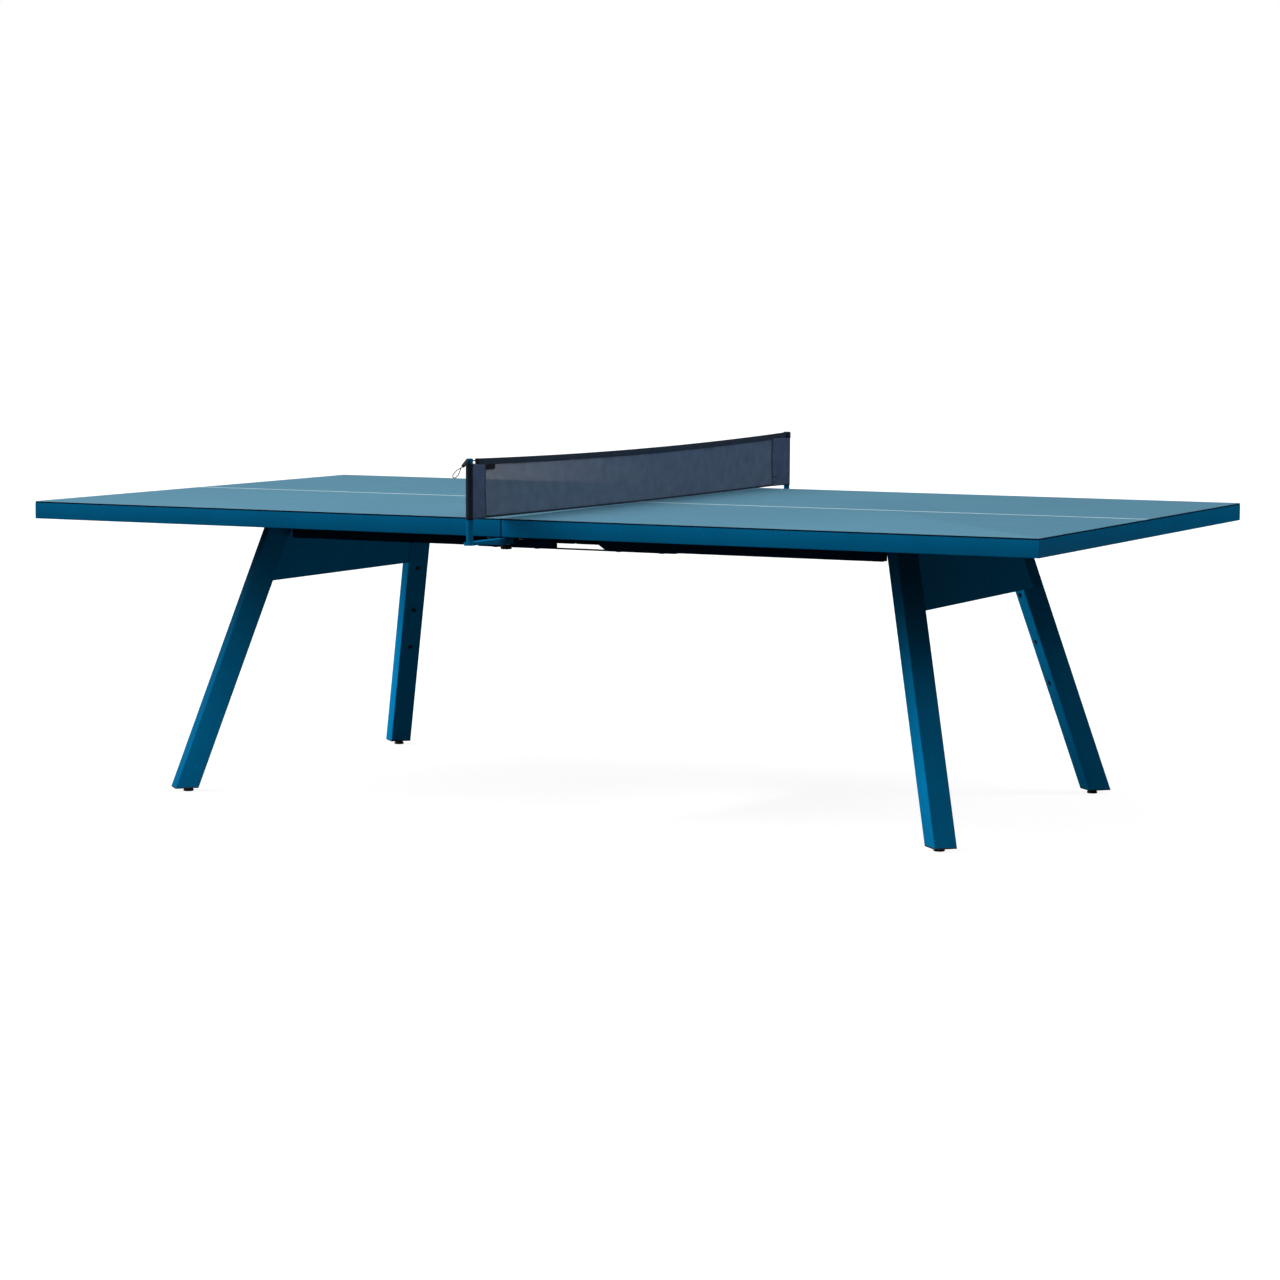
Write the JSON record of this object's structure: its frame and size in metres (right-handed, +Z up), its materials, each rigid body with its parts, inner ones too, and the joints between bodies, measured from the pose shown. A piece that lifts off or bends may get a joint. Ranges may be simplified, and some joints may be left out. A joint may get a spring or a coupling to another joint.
{
  "type": "ping pong table",
  "caption": "Full size fixed ping pong table with a split top in an edge frame, splayed square legs on levelling feet, cross panels and a lift-off net on side posts.",
  "frame": {"origin": "on the floor under the centre of the playing surface", "axes": "+X along the length of the table, +Y across it towards the rear, +Z up"},
  "size_m": [2.74, 1.9024, 0.912],
  "materials": {
    "top_laminate": "satin, fine grain",
    "blue_steel": "fine textured powder coat",
    "frame_steel": "powder coat",
    "black_plastic": "moulded, matte",
    "foot_rubber": "matte",
    "zinc_steel": "zinc plated",
    "net_mesh": "fine knotted mesh",
    "net_tape": "woven tape",
    "black_cord": "braided"
  },
  "bodies": {
    "table": {"cross_bars_left": "frame_steel", "cross_bars_right": "frame_steel", "cross_rail_left": "frame_steel", "cross_rail_right": "frame_steel", "edge_end_left": "blue_steel", "edge_end_right": "blue_steel", "edge_front_left": "blue_steel", "edge_front_right": "blue_steel", "edge_joint_left": "blue_steel", "edge_joint_right": "blue_steel", "edge_rear_left": "blue_steel", "edge_rear_right": "blue_steel", "end_panel_left": "blue_steel", "end_panel_right": "blue_steel", "joining_straps": "frame_steel", "joint_bolts": "zinc_steel", "leg_beam_left": "frame_steel", "leg_beam_right": "frame_steel", "leg_bolts": "zinc_steel", "leg_end_caps": "black_plastic", "leg_front_left": "blue_steel", "leg_front_right": "blue_steel", "leg_head_plates": "frame_steel", "leg_plugs": "black_plastic", "leg_rear_left": "blue_steel", "leg_rear_right": "blue_steel", "net_arm_front": "blue_steel", "net_arm_rear": "blue_steel", "net_receivers": "frame_steel", "receiver_screws": "zinc_steel", "strap_screws": "zinc_steel", "top_board_left": "top_laminate", "top_board_right": "top_laminate", "under_rail_front_left": "frame_steel", "under_rail_front_right": "frame_steel", "under_rail_rear_left": "frame_steel", "under_rail_rear_right": "frame_steel"},
    "net_set": {"net_post_front": "blue_steel", "net_post_rear": "blue_steel", "post_caps": "blue_steel", "net_top_tape": "net_tape", "net_mesh": "net_mesh", "net_bottom_hem": "net_tape", "net_band_front": "net_tape", "net_band_rear": "net_tape", "net_top_cord": "black_cord", "cord_lock": "black_plastic", "tension_cord": "black_cord"},
    "thumb_washer_front": {"thumb_washer_front": "zinc_steel"},
    "thumb_screw_front": {"thumb_screw_front": "black_plastic"},
    "thumb_washer_rear": {"thumb_washer_rear": "zinc_steel"},
    "thumb_screw_rear": {"thumb_screw_rear": "black_plastic"},
    "foot_pad_front_left": {"foot_pad_front_left": "foot_rubber"},
    "foot_stud_front_left": {"foot_stud_front_left": "zinc_steel"},
    "foot_pad_rear_left": {"foot_pad_rear_left": "foot_rubber"},
    "foot_stud_rear_left": {"foot_stud_rear_left": "zinc_steel"},
    "foot_pad_front_right": {"foot_pad_front_right": "foot_rubber"},
    "foot_stud_front_right": {"foot_stud_front_right": "zinc_steel"},
    "foot_pad_rear_right": {"foot_pad_rear_right": "foot_rubber"},
    "foot_stud_rear_right": {"foot_stud_rear_right": "zinc_steel"}
  },
  "joints": [
    {"name": "net_lift", "type": "slide", "parent": "table", "child": "net_set", "axis": [0, 0, 1], "range_m": [0, 0.06]},
    {"name": "foot_height_front_left", "type": "slide", "parent": "table", "child": "foot_pad_front_left", "axis": [0, 0, -1], "range_m": [0, 0.012]},
    {"name": "foot_turn_front_left", "type": "hinge", "parent": "foot_pad_front_left", "child": "foot_stud_front_left", "pos_m": [-1.05256, -0.54156, 0.02], "axis": [0, 0, -1], "range_deg": [0, 3456.1]},
    {"name": "foot_height_rear_left", "type": "slide", "parent": "table", "child": "foot_pad_rear_left", "axis": [0, 0, -1], "range_m": [0, 0.012]},
    {"name": "foot_turn_rear_left", "type": "hinge", "parent": "foot_pad_rear_left", "child": "foot_stud_rear_left", "pos_m": [-1.05256, 0.54156, 0.02], "axis": [0, 0, -1], "range_deg": [0, 3456.1]},
    {"name": "foot_height_front_right", "type": "slide", "parent": "table", "child": "foot_pad_front_right", "axis": [0, 0, -1], "range_m": [0, 0.012]},
    {"name": "foot_turn_front_right", "type": "hinge", "parent": "foot_pad_front_right", "child": "foot_stud_front_right", "pos_m": [1.05256, -0.54156, 0.02], "axis": [0, 0, -1], "range_deg": [0, 3456.1]},
    {"name": "foot_height_rear_right", "type": "slide", "parent": "table", "child": "foot_pad_rear_right", "axis": [0, 0, -1], "range_m": [0, 0.012]},
    {"name": "foot_turn_rear_right", "type": "hinge", "parent": "foot_pad_rear_right", "child": "foot_stud_rear_right", "pos_m": [1.05256, 0.54156, 0.02], "axis": [0, 0, -1], "range_deg": [0, 3456.1]},
    {"name": "thumb_travel_front", "type": "slide", "parent": "table", "child": "thumb_washer_front", "axis": [0, 0, -1], "range_m": [0, 0.01]},
    {"name": "thumb_turn_front", "type": "hinge", "parent": "thumb_washer_front", "child": "thumb_screw_front", "pos_m": [0, -0.735, 0.7], "axis": [0, 0, -1], "range_deg": [0, 2880.1]},
    {"name": "thumb_travel_rear", "type": "slide", "parent": "table", "child": "thumb_washer_rear", "axis": [0, 0, -1], "range_m": [0, 0.01]},
    {"name": "thumb_turn_rear", "type": "hinge", "parent": "thumb_washer_rear", "child": "thumb_screw_rear", "pos_m": [0, 0.735, 0.7], "axis": [0, 0, -1], "range_deg": [0, 2880.1]}
  ],
  "couplings": [
    {"joint": "foot_turn_front_left", "follows": "foot_height_front_left", "rad_per_m": 5026.5},
    {"joint": "foot_turn_rear_left", "follows": "foot_height_rear_left", "rad_per_m": 5026.5},
    {"joint": "foot_turn_front_right", "follows": "foot_height_front_right", "rad_per_m": 5026.5},
    {"joint": "foot_turn_rear_right", "follows": "foot_height_rear_right", "rad_per_m": 5026.5},
    {"joint": "thumb_turn_front", "follows": "thumb_travel_front", "rad_per_m": 5026.5},
    {"joint": "thumb_turn_rear", "follows": "thumb_travel_rear", "rad_per_m": 5026.5}
  ]
}
